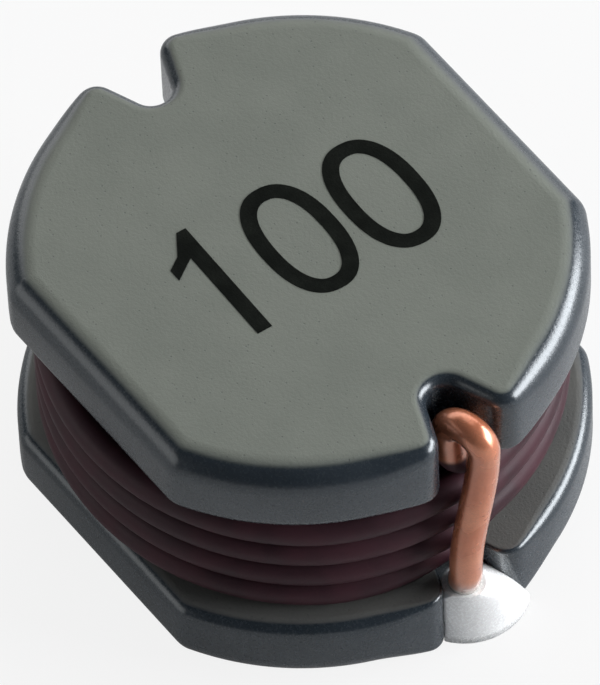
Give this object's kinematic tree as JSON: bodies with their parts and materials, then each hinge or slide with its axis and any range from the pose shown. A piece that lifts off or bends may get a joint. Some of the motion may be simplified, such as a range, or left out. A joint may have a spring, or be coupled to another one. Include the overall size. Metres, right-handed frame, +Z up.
{
  "type": "drum-core surface-mount power inductor",
  "caption": "Unshielded drum-core power inductor for surface mounting: a notched ferrite drum wound with enamelled copper wire, with soldered terminals under the lower flange.",
  "frame": {"origin": "on the board surface, under the middle of the core", "axes": "+Z up from the board, X through the two wire notches with the finish lead at +X, Y across the two flats"},
  "size_m": [0.0082, 0.0072, 0.0048],
  "materials": {
    "ferrite": "sintered and tumbled dark grey ferrite ceramic, dull top face, slightly glossy rounded rims",
    "enamelled_copper": "copper wire in dark red-brown enamel, bare and bright on the finish lead",
    "tinned_pad": "thin fired silver pad with a dull tin coat",
    "solder": "bright, slightly grainy solder"
  },
  "bodies": {
    "root": {"drum_core": "ferrite", "wire_winding": "enamelled_copper", "terminal_pad_start": "tinned_pad", "terminal_pad_finish": "tinned_pad", "solder_joint_start": "solder", "solder_joint_finish": "solder"}
  },
  "joints": []
}
